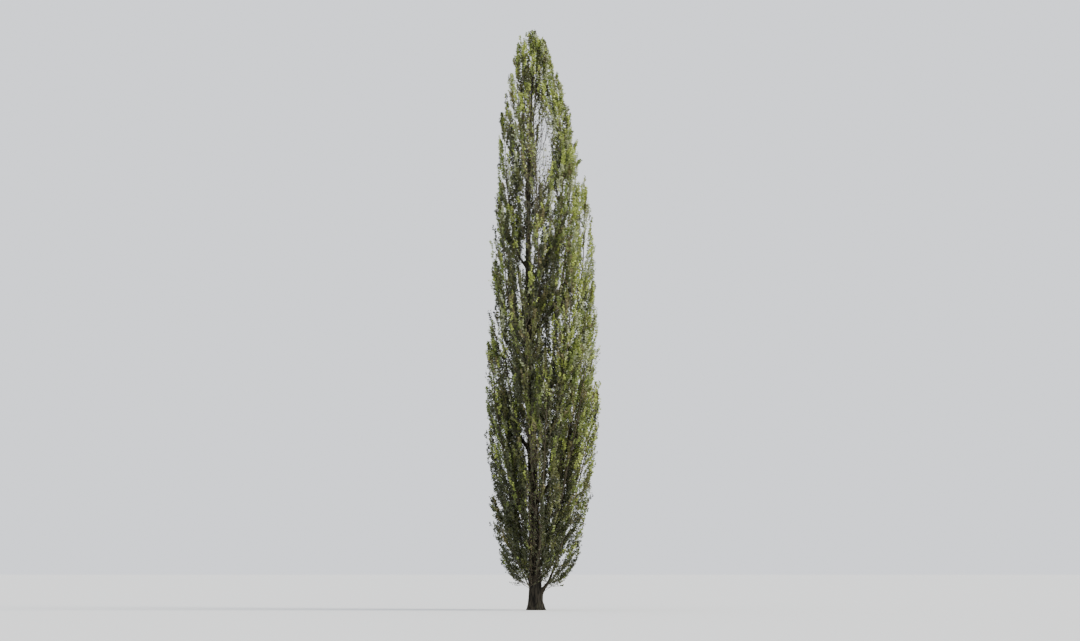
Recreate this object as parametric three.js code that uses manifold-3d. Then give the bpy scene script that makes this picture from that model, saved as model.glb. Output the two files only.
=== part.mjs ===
import * as THREE from 'three';
import { mergeVertices } from 'three/addons/utils/BufferGeometryUtils.js';
import Module from 'manifold-3d';

// A Lombardy poplar in its first spring leaf, as a whole tree grown from a few driving sizes by a
// seeded rule. Millimetres, +Z up. The origin is the middle of the flat cut at ground level, and the
// tree is seen from the -Y side, with +X to the right.
//
// The trunk runs up to the tip mass. Boughs leave it in a spiral of the golden angle, climb steeply
// and end where they enter their plume of foliage. Shorter plumes spring from the trunk itself.

// Driving sizes of the whole tree
const TREE_HEIGHT = 25000;
const CROWN_RADIUS = 2480; // half of the crown's greatest width
const CROWN_SKEW = 0.756; // puts the widest part at about 0.4 of the height
const CROWN_BLUNTNESS = 0.45; // below 1 the outline is full at the shoulders
const CROWN_SHIFT = 330; // the crown's middle stands this far right of the trunk's foot
const CROWN_FOOT = 1300; // height of the lowest leaves

// Trunk
const TRUNK_LENGTH = 23000;
const TRUNK_RADIUS = 265; // at the foot, before the root flare is added
const TRUNK_TAPER = 0.92;
const TRUNK_SWAY = 300; // the trunk bows this far left on its way up
const SWAY_SKEW = 1.5; // puts the bow's furthest point at about 0.63 of the height
const DEPTH_SWAY = 110;
const ROOT_FLARE = 150; // added to the radius at the ground
const FLARE_HEIGHT = 420;
const FLUTE_COUNT = 5;
const FLUTE_DEPTH = 0.13; // share of the radius
const FLUTE_HEIGHT = 1500;
const TRUNK_SIDES = 15;
const TRUNK_RINGS = 14;

// Boughs
const BOUGH_COUNT = 22;
const BOUGH_RADIUS = 98;
const BOUGH_TO_TRUNK = 0.56; // a bough's foot is at most this share of the trunk's radius
const BOUGH_TAPER = 0.5;
const BOUGH_RISE = 1.75; // height gained for each unit of reach
const BOUGH_LOWEST = 450; // no bough leaves the trunk below this height
const BOUGH_LEAN = THREE.MathUtils.degToRad(38); // from the trunk, where it leaves
const BOUGH_EASE = 0.4; // share of its span over which a bough comes round at each end
const BOUGH_SIDES = 5;
const BOUGH_RINGS = 4;

// Plumes of foliage on the boughs
const PLUME_FOOT_LOWEST = 1500;
const PLUME_FOOT_HIGHEST = 19500;
const FOOT_CROWDING = 1.2; // above 1 the plumes start closer together low down
const PLUME_LENGTH_LOW = 6400;
const PLUME_LENGTH_HIGH = 4300;
const PLUME_RADIUS_LOW = 800;
const PLUME_RADIUS_HIGH = 540;
const FOOT_REACH_LOW = 0.76; // how far out a plume starts, as a share of its full reach
const FOOT_REACH_HIGH = 0.6;
const LEAN_OUT_FROM = -0.3; // shares of a stem's length between which it leans out to full reach
const LEAN_OUT_TO = 0.7;
const TIP_TO_PLUME = 0.4; // a plume's tip stands inside the outline by this share of its radius
const FIRST_AZIMUTH = 0;
const GOLDEN_ANGLE = THREE.MathUtils.degToRad(137.508);
const TURN_STEP = THREE.MathUtils.degToRad(4); // by which a plume turns aside from a sky gap

// Inner plumes, which spring from the trunk
const INNER_COUNT = 10;
const INNER_FOOT_LOWEST = 620;
const INNER_FOOT_HIGHEST = 18600;
const INNER_CROWDING = 1.6; // above 1 there are more of them low down
const INNER_LENGTH_LOW = 3600;
const INNER_LENGTH_HIGH = 4400;
const INNER_REACH_LOW = 1750;
const INNER_REACH_HIGH = 500;
const INNER_BEND = 0.8; // below 1 an inner stem leans out most at its foot
const INNER_RADIUS = 640;
const INNER_STEM_RADIUS = 32;
const INNER_TO_TRUNK = 0.5; // an inner stem is at most this share of the trunk's radius
const INNER_TRIES = 36; // azimuths tried for each
const ROOM_PLACES = [0.3, 0.45, 0.6, 0.75, 0.9]; // shares of its length where its room is measured
const CROSSING_CLEARANCE = 110; // from an inner stem's line to a bough's, outside the trunk
const TIP_RADIUS = 600;

// Stems, twigs and leaves. A leaf here stands for a spray, so it is far larger than life.
const STEM_SIDES = 4;
const STEM_RINGS = 5;
const STEM_TIP_RADIUS = 20;
const STEM_TO_LIMB = 0.95; // a stem's radius beside that of the limb's end it grows on from
const TWIG_TRIES = 10;
const TWIG_LOWEST = 0.04; // shares of the stem's length between which twigs leave it
const TWIG_HIGHEST = 0.92;
const TWIG_SHARES = [1, 0.75, 0.5]; // of its full length, until one fits
const TWIG_TO_STEM = 0.6; // a twig's radius where it leaves, as a share of the stem's
const TWIG_LENGTH = 950;
const TWIG_LEAN = THREE.MathUtils.degToRad(33); // from its stem
const LEAF_LENGTH = 1000;
const LEAF_WIDTH = 620;
const LEAF_THICKNESS = 20;
const LEAF_WIDEST = 0.42; // share of its length, from the stalk
const LEAF_LEAN = THREE.MathUtils.degToRad(30); // from its twig
const LEAF_PLACES = [0.8, 0.55, 0.32]; // along the twig
const LEAF_TRIES = 6; // turns tried at each place
const LEAF_SPACING = 340; // between the middles of two leaves of a plume
const LEAF_SINK = 30; // how deep a stem's end leaf is rooted in it
const LEAVES_PER_PLUME = 15;

// Clearances
const JOINT_GAP = 0.3;
const LIMB_CLEARANCE = 12;
const SPACE_MARGIN = 0.035; // share of a plume's radius, kept at each side of its border

// Places where the sky shows right through the crown, as upright ovals seen from the front
const SKY_GAPS = [
  { x: 400, z: 19200, halfWidth: 290, halfHeight: 2200 }, // right of the leader
  { x: -470, z: 7000, halfWidth: 140, halfHeight: 1000 }, // left of the lower trunk
  { x: 800, z: 8900, halfWidth: 140, halfHeight: 700 },
  { x: -560, z: 15100, halfWidth: 130, halfHeight: 600 },
];
const STEM_BESIDE_GAP = 90; // a stem keeps this far from a gap, so that it isn't left bare
const BLOCKED = 1e5; // outweighs any room that a plume has

const BARK = { color: '#4c4433', roughness: 0.9, metalness: 0 };
const FOLIAGE = { color: '#77803a', roughness: 0.6, metalness: 0 };

const UP = new THREE.Vector3(0, 0, 1);
const { lerp, clamp } = THREE.MathUtils;

const wasm = await Module();
wasm.setup();

// A seeded stream of numbers between 0 and 1, so that each build grows the same tree.
function seededRandom(seed) {
  const modulus = 2147483647;
  let state = seed * 7919 + 104729;
  return () => {
    state = (state * 48271) % modulus;
    return state / modulus;
  };
}

function heading(azimuth) {
  return new THREE.Vector3(Math.cos(azimuth), Math.sin(azimuth), 0);
}

function crownRadius(height) {
  const share = clamp(height / TREE_HEIGHT, 0, 1);
  return CROWN_RADIUS * Math.sin(Math.PI * share ** CROWN_SKEW) ** CROWN_BLUNTNESS;
}

function crownCentre(height) {
  return new THREE.Vector3(CROWN_SHIFT * Math.sin((Math.PI * height) / TREE_HEIGHT), 0, height);
}

function trunkCentre(height) {
  const share = height / TREE_HEIGHT;
  return new THREE.Vector3(
    -TRUNK_SWAY * Math.sin(Math.PI * share ** SWAY_SKEW),
    DEPTH_SWAY * Math.sin(2 * Math.PI * share),
    height,
  );
}

function trunkRadius(height) {
  const taper = (1 - height / TREE_HEIGHT) ** TRUNK_TAPER;
  return TRUNK_RADIUS * taper + ROOT_FLARE * Math.exp(-height / FLARE_HEIGHT);
}

// Joined solids

function solidOf(geometry) {
  const bare = new THREE.BufferGeometry();
  bare.setAttribute('position', geometry.getAttribute('position').clone());
  bare.setIndex(geometry.getIndex());
  const merged = mergeVertices(bare, 1e-3);
  return new wasm.Manifold(
    new wasm.Mesh({
      numProp: 3,
      vertProperties: new Float32Array(merged.getAttribute('position').array),
      triVerts: new Uint32Array(merged.getIndex().array),
    }),
  );
}

function geometryOf(solid) {
  const { numProp, numVert, vertProperties, triVerts } = solid.getMesh();
  const positions = new Float32Array(numVert * 3);
  for (let i = 0; i < numVert; i += 1) {
    positions.set(vertProperties.subarray(i * numProp, i * numProp + 3), i * 3);
  }
  const geometry = new THREE.BufferGeometry();
  geometry.setAttribute('position', new THREE.BufferAttribute(positions, 3));
  geometry.setIndex(new THREE.BufferAttribute(new Uint32Array(triVerts), 1));
  geometry.computeVertexNormals();
  return geometry;
}

// The largest body alone: it has no loose scraps and no sealed hollow.
function largestBody(solid) {
  return solid.decompose().reduce((best, body) => (body.volume() > best.volume() ? body : best));
}

// Limbs

// Bends a closed cylinder onto a line. pointAt, tangentAt and radiusAt take a share from 0 to 1, and
// side is a level vector across the limb.
function limbGeometry({ pointAt, tangentAt, radiusAt, side, sides, rings, stationAt = (t) => t }) {
  const geometry = new THREE.CylinderGeometry(1, 1, 1, sides, rings);
  const position = geometry.getAttribute('position');
  const vertex = new THREE.Vector3();
  for (let i = 0; i < position.count; i += 1) {
    vertex.fromBufferAttribute(position, i);
    const t = stationAt(clamp(vertex.y + 0.5, 0, 1));
    const tangent = tangentAt(t);
    const across = side.clone().addScaledVector(tangent, -side.dot(tangent)).normalize();
    const outward = new THREE.Vector3().crossVectors(across, tangent);
    const angle = Math.atan2(vertex.z, vertex.x);
    const radius = Math.hypot(vertex.x, vertex.z) * radiusAt(t, angle);
    const moved = pointAt(t)
      .addScaledVector(across, -radius * Math.sin(angle))
      .addScaledVector(outward, radius * Math.cos(angle));
    position.setXYZ(i, moved.x, moved.y, moved.z);
  }
  return geometry;
}

// The trunk's rings are level, so its foot is a flat cut on the ground.
function trunkGeometry(extraRadius) {
  const heightAt = (t) => TRUNK_LENGTH * t;
  return limbGeometry({
    pointAt: (t) => trunkCentre(heightAt(t)),
    tangentAt: () => UP.clone(),
    radiusAt: (t, angle) => {
      const height = heightAt(t);
      const flute = FLUTE_DEPTH * Math.exp(-height / FLUTE_HEIGHT) * Math.cos(FLUTE_COUNT * angle);
      return trunkRadius(height) * (1 + flute) + extraRadius;
    },
    side: new THREE.Vector3(0, 1, 0),
    sides: TRUNK_SIDES,
    rings: TRUNK_RINGS,
    stationAt: (t) => t ** 1.7, // rings stand closer together at the root flare
  });
}

// A limb's centre line and radii as straight stretches, for measuring how far a point is from it.
function stretchesOf(pointAt, radiusAt, count) {
  return Array.from({ length: count }, (_, i) => ({
    from: pointAt(i / count),
    to: pointAt((i + 1) / count),
    fromRadius: radiusAt(i / count),
    toRadius: radiusAt((i + 1) / count),
  }));
}

// How far a point lies from a stretch's axis, and the stretch's radius there.
function measure(point, { from, to, fromRadius, toRadius }) {
  const along = to.clone().sub(from);
  const t = clamp(point.clone().sub(from).dot(along) / along.lengthSq(), 0, 1);
  return {
    distance: point.distanceTo(from.clone().addScaledVector(along, t)),
    radius: lerp(fromRadius, toRadius, t),
  };
}

function nearest(point, lines) {
  return Math.min(...lines.flat().map((stretch) => measure(point, stretch).distance));
}

// Plumes: the space of each, round the line of its stem

// On a bough, the stem leans out until it follows the crown's outline, just inside it.
function boughPlume(index) {
  const share = index / (BOUGH_COUNT - 1);
  const foot = lerp(PLUME_FOOT_LOWEST, PLUME_FOOT_HIGHEST, share ** FOOT_CROWDING);
  const length = lerp(PLUME_LENGTH_LOW, PLUME_LENGTH_HIGH, share);
  const radius = lerp(PLUME_RADIUS_LOW, PLUME_RADIUS_HIGH, share ** 2);
  const footReach = lerp(FOOT_REACH_LOW, FOOT_REACH_HIGH, share ** 0.5);
  const towards = (azimuth) => (t) => {
    const height = foot + length * t;
    const fullReach = crownRadius(height) - radius * lerp(1, TIP_TO_PLUME, t * t);
    const leant = THREE.MathUtils.smoothstep(t, LEAN_OUT_FROM, LEAN_OUT_TO);
    const reach = fullReach * lerp(footReach, 1, leant);
    return crownCentre(height).addScaledVector(heading(azimuth), reach);
  };
  const wanted = FIRST_AZIMUTH + index * GOLDEN_ANGLE;
  const azimuths = Array.from({ length: 12 }, (_, i) => {
    return wanted + (i % 2 ? 1 : -1) * Math.ceil(i / 2) * TURN_STEP;
  });
  const azimuth = azimuths.find((tried) => clearOfSky(towards(tried))) ?? azimuths[0];
  const pointAt = towards(azimuth);
  return { name: numbered('foliage', index), index, azimuth, radius, pointAt };
}

// True if a stem passes every sky gap at its side and not before or behind it.
function clearOfSky(pointAt) {
  const shares = Array.from({ length: 12 }, (_, i) => i / 11);
  return shares.every((t) => !inSkyGap(pointAt(t), STEM_BESIDE_GAP));
}

// On the trunk, the stem starts at the trunk's axis and leans out to the side where it has most room.
function innerPlume(index, lines) {
  const share = index / (INNER_COUNT - 1);
  const foot = lerp(INNER_FOOT_LOWEST, INNER_FOOT_HIGHEST, share ** INNER_CROWDING);
  const length = lerp(INNER_LENGTH_LOW, INNER_LENGTH_HIGH, share);
  const reach = lerp(INNER_REACH_LOW, INNER_REACH_HIGH, share ** 0.5);
  const towards = (azimuth) => {
    const pointAt = (t) => {
      const height = foot + length * t;
      return trunkCentre(height).addScaledVector(heading(azimuth), reach * t ** INNER_BEND);
    };
    const roomAt = (shares) => Math.min(...shares.map((t) => nearest(pointAt(t), lines)));
    const room = roomAt(ROOM_PLACES);
    const justOutside = Array.from({ length: 30 }, (_, i) => 0.01 * (i + 1)).filter((t) => {
      const point = pointAt(t);
      return point.distanceTo(trunkCentre(point.z)) > trunkRadius(point.z);
    });
    const blocked = roomAt(justOutside) < CROSSING_CLEARANCE || !clearOfSky(pointAt);
    return { azimuth, pointAt, room: blocked ? room - BLOCKED : room };
  };
  const tried = Array.from({ length: INNER_TRIES }, (_, i) => towards((i / INNER_TRIES) * 2 * Math.PI));
  const { azimuth, pointAt } = tried.reduce((best, one) => (one.room > best.room ? one : best));
  return { name: numbered('foliage_inner', index), index, azimuth, radius: INNER_RADIUS, pointAt };
}

// At the tip, the stem carries the leader on to the top.
function tipPlume() {
  const top = TREE_HEIGHT - LEAF_LENGTH + LEAF_SINK;
  const pointAt = (t) => trunkCentre(lerp(TRUNK_LENGTH + JOINT_GAP, top, t));
  return { name: 'foliage_tip', index: 0, azimuth: 0, radius: TIP_RADIUS, pointAt };
}

function numbered(word, index) {
  return `${word}_${String(index + 1).padStart(2, '0')}`;
}

function tangentOf(pointAt) {
  const step = 0.01;
  return (t) => pointAt(Math.min(t + step, 1)).sub(pointAt(Math.max(t - step, 0))).normalize();
}

// A bough leaves the trunk's axis below its plume and comes round to the direction of its stem.
function boughLine(plume) {
  const end = plume.pointAt(0);
  const reach = Math.hypot(end.x - trunkCentre(end.z).x, end.y - trunkCentre(end.z).y);
  const start = trunkCentre(Math.max(end.z - BOUGH_RISE * reach, BOUGH_LOWEST));
  const handle = BOUGH_EASE * start.distanceTo(end);
  const leaving = heading(plume.azimuth)
    .multiplyScalar(Math.sin(BOUGH_LEAN))
    .addScaledVector(UP, Math.cos(BOUGH_LEAN));
  const entering = tangentOf(plume.pointAt)(0);
  const curve = new THREE.CubicBezierCurve3(
    start,
    start.clone().addScaledVector(leaving, handle),
    end.clone().addScaledVector(entering, -handle),
    end,
  );
  const footRadius = Math.min(BOUGH_RADIUS, BOUGH_TO_TRUNK * trunkRadius(start.z));
  return {
    name: numbered('bough', plume.index),
    side: heading(plume.azimuth + Math.PI / 2),
    pointAt: (t) => curve.getPoint(t),
    tangentAt: (t) => curve.getTangent(t),
    radiusAt: (t) => footRadius * lerp(1, BOUGH_TAPER, t),
  };
}

// Twigs and leaves

function alignedTo(direction, roll) {
  const turn = new THREE.Quaternion().setFromUnitVectors(UP, direction);
  return turn.multiply(new THREE.Quaternion().setFromAxisAngle(UP, roll));
}

// A twig is a three-sided taper from its root in the stem to a point.
function twigSolid({ from, to, radius }) {
  const length = from.distanceTo(to);
  const geometry = new THREE.ConeGeometry(radius, length, 3, 1);
  geometry.rotateX(Math.PI / 2).translate(0, 0, length / 2);
  geometry.applyQuaternion(alignedTo(to.clone().sub(from).normalize(), 0));
  geometry.translate(from.x, from.y, from.z);
  return solidOf(geometry);
}

// The eight-faced blade's six corners: root, tip, the two sides and the two faces' high points.
function leafCorners({ root, direction, roll, length }) {
  const turn = alignedTo(direction, roll);
  const width = (LEAF_WIDTH / LEAF_LENGTH) * length;
  const corner = (x, y, z) => new THREE.Vector3(x, y, z).applyQuaternion(turn).add(root);
  const widest = LEAF_WIDEST * length;
  return {
    root,
    tip: corner(0, 0, length),
    left: corner(-width / 2, 0, widest),
    right: corner(width / 2, 0, widest),
    front: corner(0, -LEAF_THICKNESS / 2, widest),
    back: corner(0, LEAF_THICKNESS / 2, widest),
  };
}

function leafSolid(corners) {
  const geometry = new THREE.OctahedronGeometry(1);
  const position = geometry.getAttribute('position');
  const vertex = new THREE.Vector3();
  for (let i = 0; i < position.count; i += 1) {
    vertex.fromBufferAttribute(position, i);
    let place = vertex.z > 0.5 ? corners.tip : corners.root;
    if (Math.abs(vertex.x) > 0.5) place = vertex.x > 0 ? corners.right : corners.left;
    if (Math.abs(vertex.y) > 0.5) place = vertex.y > 0 ? corners.back : corners.front;
    position.setXYZ(i, place.x, place.y, place.z);
  }
  return solidOf(geometry);
}

// Points along the leaf's outline and midrib, close enough together to find a limb between them.
function leafSamples({ root, tip, left, right }) {
  const lines = [[root, left], [left, tip], [tip, right], [right, root], [root, tip], [left, right]];
  return lines.flatMap(([a, b]) => samplesBetween(a, b, 7));
}

function samplesBetween(a, b, count) {
  return Array.from({ length: count }, (_, i) => a.clone().lerp(b, i / (count - 1)));
}

function insideCrown(point) {
  const centre = crownCentre(point.z);
  const inOutline = Math.hypot(point.x - centre.x, point.y - centre.y) <= crownRadius(point.z) + 20;
  return inOutline && point.z >= CROWN_FOOT && point.z <= TREE_HEIGHT;
}

function inSkyGap(point, wider = 0) {
  return SKY_GAPS.some(({ x, z, halfWidth, halfHeight }) => {
    return Math.hypot((point.x - x) / (halfWidth + wider), (point.z - z) / halfHeight) < 1;
  });
}

// How many of its own radii a point is from a plume's stem.
function closeness(point, plume) {
  return nearest(point, [plume.stretches]) / plume.radius;
}

// True if every point is nearer to this plume's stem than to any other's, and clear of all limbs.
function fits(points, plume, plumes, limbs) {
  return points.every((point) => {
    if (!insideCrown(point) || inSkyGap(point)) return false;
    const own = closeness(point, plume);
    if (own > 1) return false;
    const nearestOther = Math.min(
      ...plumes.filter((other) => other !== plume).map((other) => closeness(point, other)),
    );
    if (own + SPACE_MARGIN > nearestOther - SPACE_MARGIN) return false;
    return limbs.flat().every((stretch) => {
      const { distance, radius } = measure(point, stretch);
      return distance > radius + LIMB_CLEARANCE;
    });
  });
}

// A leaf on a twig, turned away from it and rolled by chance.
function leafOn(twig, share, lean, random) {
  const along = twig.to.clone().sub(twig.from);
  const turn = random() * 2 * Math.PI;
  const direction = along.clone().normalize();
  const level = new THREE.Vector3().crossVectors(direction, heading(turn)).normalize();
  direction.multiplyScalar(Math.cos(lean)).addScaledVector(level, Math.sin(lean));
  return leafCorners({
    root: twig.from.clone().addScaledVector(along, share),
    direction: direction.normalize(),
    roll: random() * Math.PI,
    length: LEAF_LENGTH * lerp(0.85, 1.15, random()),
  });
}

// A twig off the stem at t, as a function of how long it is beside its full length.
function twigAt(plume, t, outward, random) {
  const lean = TWIG_LEAN * lerp(0.8, 1.2, random());
  const direction = tangentOf(plume.pointAt)(t)
    .multiplyScalar(Math.cos(lean))
    .addScaledVector(outward, Math.sin(lean));
  const from = plume.pointAt(t);
  const fullLength = TWIG_LENGTH * (plume.radius / PLUME_RADIUS_LOW) ** 0.5;
  return (share) => ({
    from,
    to: from.clone().addScaledVector(direction, fullLength * share),
    radius: TWIG_TO_STEM * lerp(plume.stemRadius, STEM_TIP_RADIUS, t),
  });
}

// The seeded rule: twigs climb off the stem in a spiral, and each carries leaves and ends in one.
function growPlume(plume, plumes, limbs, seed) {
  const random = seededRandom(seed);
  const twigs = [];
  const leaves = [];
  const addLeaf = (corners) => {
    const middle = corners.left.clone().lerp(corners.right, 0.5);
    const apart = leaves.every((leaf) => leaf.middle.distanceTo(middle) > LEAF_SPACING);
    const wanted = apart && leaves.length < LEAVES_PER_PLUME;
    if (!wanted || !fits(leafSamples(corners), plume, plumes, limbs)) return false;
    leaves.push({ corners, middle });
    return true;
  };
  const endDirection = tangentOf(plume.pointAt)(1);
  addLeaf(leafCorners({
    root: plume.pointAt(1).addScaledVector(endDirection, -LEAF_SINK),
    direction: endDirection,
    roll: random() * Math.PI,
    length: LEAF_LENGTH,
  }));
  for (let i = TWIG_TRIES - 1; i >= 0; i -= 1) {
    const t = lerp(TWIG_LOWEST, TWIG_HIGHEST, (i + 0.6 * random()) / TWIG_TRIES);
    const twig = twigAt(plume, t, heading(i * GOLDEN_ANGLE + 0.7 * random()), random);
    const fitting = TWIG_SHARES.map(twig).find(({ from, to }) => {
      return fits(samplesBetween(from.clone().lerp(to, 0.12), to, 9), plume, plumes, limbs);
    });
    if (fitting) {
      const held = LEAF_PLACES.map((share) => {
        return Array.from({ length: LEAF_TRIES }).some(() => {
          return addLeaf(leafOn(fitting, share, LEAF_LEAN * lerp(0.6, 1.4, random()), random));
        });
      });
      if (held.includes(true)) twigs.push(fitting);
    }
  }
  return { twigs, leaves };
}

// Building the tree

function boughSolid(bough, trunkSeat) {
  const geometry = limbGeometry({ ...bough, sides: BOUGH_SIDES, rings: BOUGH_RINGS });
  return largestBody(solidOf(geometry).subtract(trunkSeat));
}

function stemSolid(plume) {
  const geometry = limbGeometry({
    pointAt: plume.pointAt,
    tangentAt: tangentOf(plume.pointAt),
    radiusAt: (t) => lerp(plume.stemRadius, STEM_TIP_RADIUS, t),
    side: heading(plume.azimuth + Math.PI / 2),
    sides: STEM_SIDES,
    rings: STEM_RINGS,
  });
  return solidOf(geometry);
}

function plumeSolid(plume, grown, trunkSeat) {
  const parts = [
    ...grown.twigs.map(twigSolid),
    ...grown.leaves.map(({ corners }) => leafSolid(corners)),
  ];
  const joined = parts.reduce((whole, part) => whole.add(part), stemSolid(plume));
  return largestBody(joined.subtract(trunkSeat));
}

function named(name, geometry, finish) {
  const mesh = new THREE.Mesh(geometry, new THREE.MeshStandardMaterial(finish));
  mesh.name = name;
  return mesh;
}

function growTree() {
  const tree = new THREE.Group();
  tree.add(named('trunk', geometryOf(solidOf(trunkGeometry(0))), BARK));
  const trunkSeat = solidOf(trunkGeometry(JOINT_GAP));

  const outer = Array.from({ length: BOUGH_COUNT }, (_, i) => boughPlume(i));
  const boughs = outer.map(boughLine);
  outer.forEach((plume, i) => {
    plume.stemRadius = STEM_TO_LIMB * boughs[i].radiusAt(1);
    // The stem starts a joint gap past the bough's flat end, along the same line.
    const start = plume.pointAt;
    const shift = tangentOf(start)(0).multiplyScalar(JOINT_GAP);
    plume.pointAt = (t) => start(t).add(shift);
  });
  const boughStretches = boughs.map(({ pointAt, radiusAt }) => {
    return stretchesOf(pointAt, radiusAt, 2 * BOUGH_RINGS);
  });
  const stemStretches = ({ pointAt, stemRadius }) => {
    return stretchesOf(pointAt, (t) => lerp(stemRadius, STEM_TIP_RADIUS, t), STEM_RINGS);
  };

  const lines = [...boughStretches, ...outer.map(stemStretches)];
  const inner = [];
  for (let i = 0; i < INNER_COUNT; i += 1) {
    const plume = innerPlume(i, lines);
    const thickest = INNER_TO_TRUNK * trunkRadius(plume.pointAt(0).z);
    plume.stemRadius = Math.min(INNER_STEM_RADIUS, thickest);
    inner.push(plume);
    lines.push(stemStretches(plume));
  }
  const tip = tipPlume();
  tip.stemRadius = STEM_TO_LIMB * trunkRadius(TRUNK_LENGTH);

  const trunkStretches = stretchesOf(
    (t) => trunkCentre(TRUNK_LENGTH * t),
    (t) => trunkRadius(TRUNK_LENGTH * t),
    2 * TRUNK_RINGS,
  );
  const limbs = [trunkStretches, ...boughStretches];
  boughs.forEach((bough) => {
    tree.add(named(bough.name, geometryOf(boughSolid(bough, trunkSeat)), BARK));
  });
  const plumes = [...outer, ...inner, tip];
  // A plume's space goes on past its stem's end, round the end leaf.
  plumes.forEach((plume) => {
    const from = plume.pointAt(1);
    const to = from.clone().addScaledVector(tangentOf(plume.pointAt)(1), LEAF_LENGTH);
    plume.stretches = [...stemStretches(plume), { from, to, fromRadius: 0, toRadius: 0 }];
  });
  plumes.forEach((plume, i) => {
    const grown = growPlume(plume, plumes, limbs, i + 1);
    tree.add(named(plume.name, geometryOf(plumeSolid(plume, grown, trunkSeat)), FOLIAGE));
  });
  return tree;
}

export default growTree();
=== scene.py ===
import math

import bmesh
import bpy
import numpy as np
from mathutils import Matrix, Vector, noise


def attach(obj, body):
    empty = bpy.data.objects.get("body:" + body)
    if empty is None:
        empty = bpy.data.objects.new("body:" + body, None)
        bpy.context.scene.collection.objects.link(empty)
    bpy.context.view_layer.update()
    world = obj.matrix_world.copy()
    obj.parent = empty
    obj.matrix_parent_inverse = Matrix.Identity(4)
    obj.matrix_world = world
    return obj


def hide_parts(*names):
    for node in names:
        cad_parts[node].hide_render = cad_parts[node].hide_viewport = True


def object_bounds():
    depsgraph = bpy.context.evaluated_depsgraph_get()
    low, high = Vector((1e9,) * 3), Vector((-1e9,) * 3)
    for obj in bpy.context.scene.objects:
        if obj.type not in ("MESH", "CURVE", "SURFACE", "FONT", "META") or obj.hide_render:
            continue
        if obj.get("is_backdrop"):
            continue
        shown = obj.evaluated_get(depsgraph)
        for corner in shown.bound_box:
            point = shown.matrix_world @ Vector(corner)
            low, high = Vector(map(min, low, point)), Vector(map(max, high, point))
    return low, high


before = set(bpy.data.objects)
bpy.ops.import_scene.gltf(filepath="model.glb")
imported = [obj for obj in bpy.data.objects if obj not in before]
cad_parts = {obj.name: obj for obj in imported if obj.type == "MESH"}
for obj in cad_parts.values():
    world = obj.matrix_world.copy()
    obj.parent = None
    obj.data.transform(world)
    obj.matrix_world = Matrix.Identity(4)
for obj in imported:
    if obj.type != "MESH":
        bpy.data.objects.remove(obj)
solids_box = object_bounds()

# A Lombardy poplar in its first spring leaf. Its limbs follow the lines of the solids, from the same
# driving sizes, and each plume of foliage is carried on from its stem to branches, shoots and leaves.
# Metres, +Z up, with the middle of the trunk's foot at the origin and the front towards -Y.


def count_of_nodes(prefix):
    return sum(name.startswith(prefix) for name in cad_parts)


# Driving sizes of the whole tree
TREE_HEIGHT = 25.0
CROWN_RADIUS = 2.48  # half of the crown's greatest width
CROWN_SKEW = 0.756  # puts the widest part at about 0.4 of the height
CROWN_BLUNTNESS = 0.45  # below 1 the outline is full at the shoulders
CROWN_SHIFT = 0.33  # at half height the crown's middle is this far right of the trunk's foot
CROWN_EDGE = 1.035  # the outermost leaves stand out this far, as a share of the crown's radius
LEAST_RADIUS = 0.05  # the crown's radius counts as at least this where it runs out
LEAVES_FOOT = 1.0  # the stalk and the tip of each leaf are above this height
TWIGS_FOOT = 0.95  # branches and shoots keep above this one, past their first stretch
TOP_LEAN = 0.25  # the leafy crown's top leans this far left
TOP_LEAN_COMES = (18.5, 24)  # between these heights

# Trunk
TRUNK_LENGTH = 23.0
TRUNK_RADIUS = 0.265  # at the foot, before the root flare is added
TRUNK_TAPER = 0.92  # below 1 the trunk keeps its girth longer
TRUNK_SWAY = 0.3  # the trunk bows this far left on its way up
SWAY_SKEW = 1.5  # puts the bow's furthest point at about 0.63 of the height
DEPTH_SWAY = 0.11  # and this far back, then as far forward
ROOT_FLARE = 0.15  # added to the radius at the ground
FLARE_HEIGHT = 0.42
FLUTE_COUNT = 5
FLUTE_DEPTH = 0.13  # share of the radius
FLUTE_HEIGHT = 1.5

# Boughs
BOUGH_COUNT = count_of_nodes("bough_")
BOUGH_RADIUS = 0.098
BOUGH_TO_TRUNK = 0.56  # a bough's foot is at most this share of the trunk's radius
BOUGH_TAPER = 0.5
BOUGH_RISE = 1.75  # height gained for each unit of reach
BOUGH_LOWEST = 0.45  # no bough leaves the trunk below this height
BOUGH_LEAN = math.radians(38)  # from the trunk, where it leaves
BOUGH_EASE = 0.4  # share of its span over which a bough comes round at each end

# Plumes of foliage on the boughs
PLUME_FOOT_LOWEST = 1.5
PLUME_FOOT_HIGHEST = 19.5
FOOT_CROWDING = 1.2  # above 1 the plumes start closer together low down
PLUME_LENGTH_LOW = 6.4
PLUME_LENGTH_HIGH = 4.3
PLUME_RADIUS_LOW = 0.8
PLUME_RADIUS_HIGH = 0.54
RADIUS_SKEW = 2  # above 1 the plumes get slimmer mostly high up
FOOT_REACH_LOW = 0.76  # how far out a plume starts, as a share of its full reach
FOOT_REACH_HIGH = 0.6
REACH_SKEW = 0.5  # below 1 the reach, also of inner plumes, gets less mostly low down
LEAN_OUT_FROM = -0.3  # shares of a stem's length between which it leans out to full reach
LEAN_OUT_TO = 0.7
TIP_TO_PLUME = 0.4  # a plume's tip stands inside the outline by this share of its radius
STEM_TO_LIMB = 0.95  # a stem's radius beside that of the limb's end it grows on from
FIRST_AZIMUTH = 0.0
GOLDEN_ANGLE = math.radians(137.508)
TURN_STEP = math.radians(4)  # by which a plume turns aside from a sky gap
TURN_TRIES = 12

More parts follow.
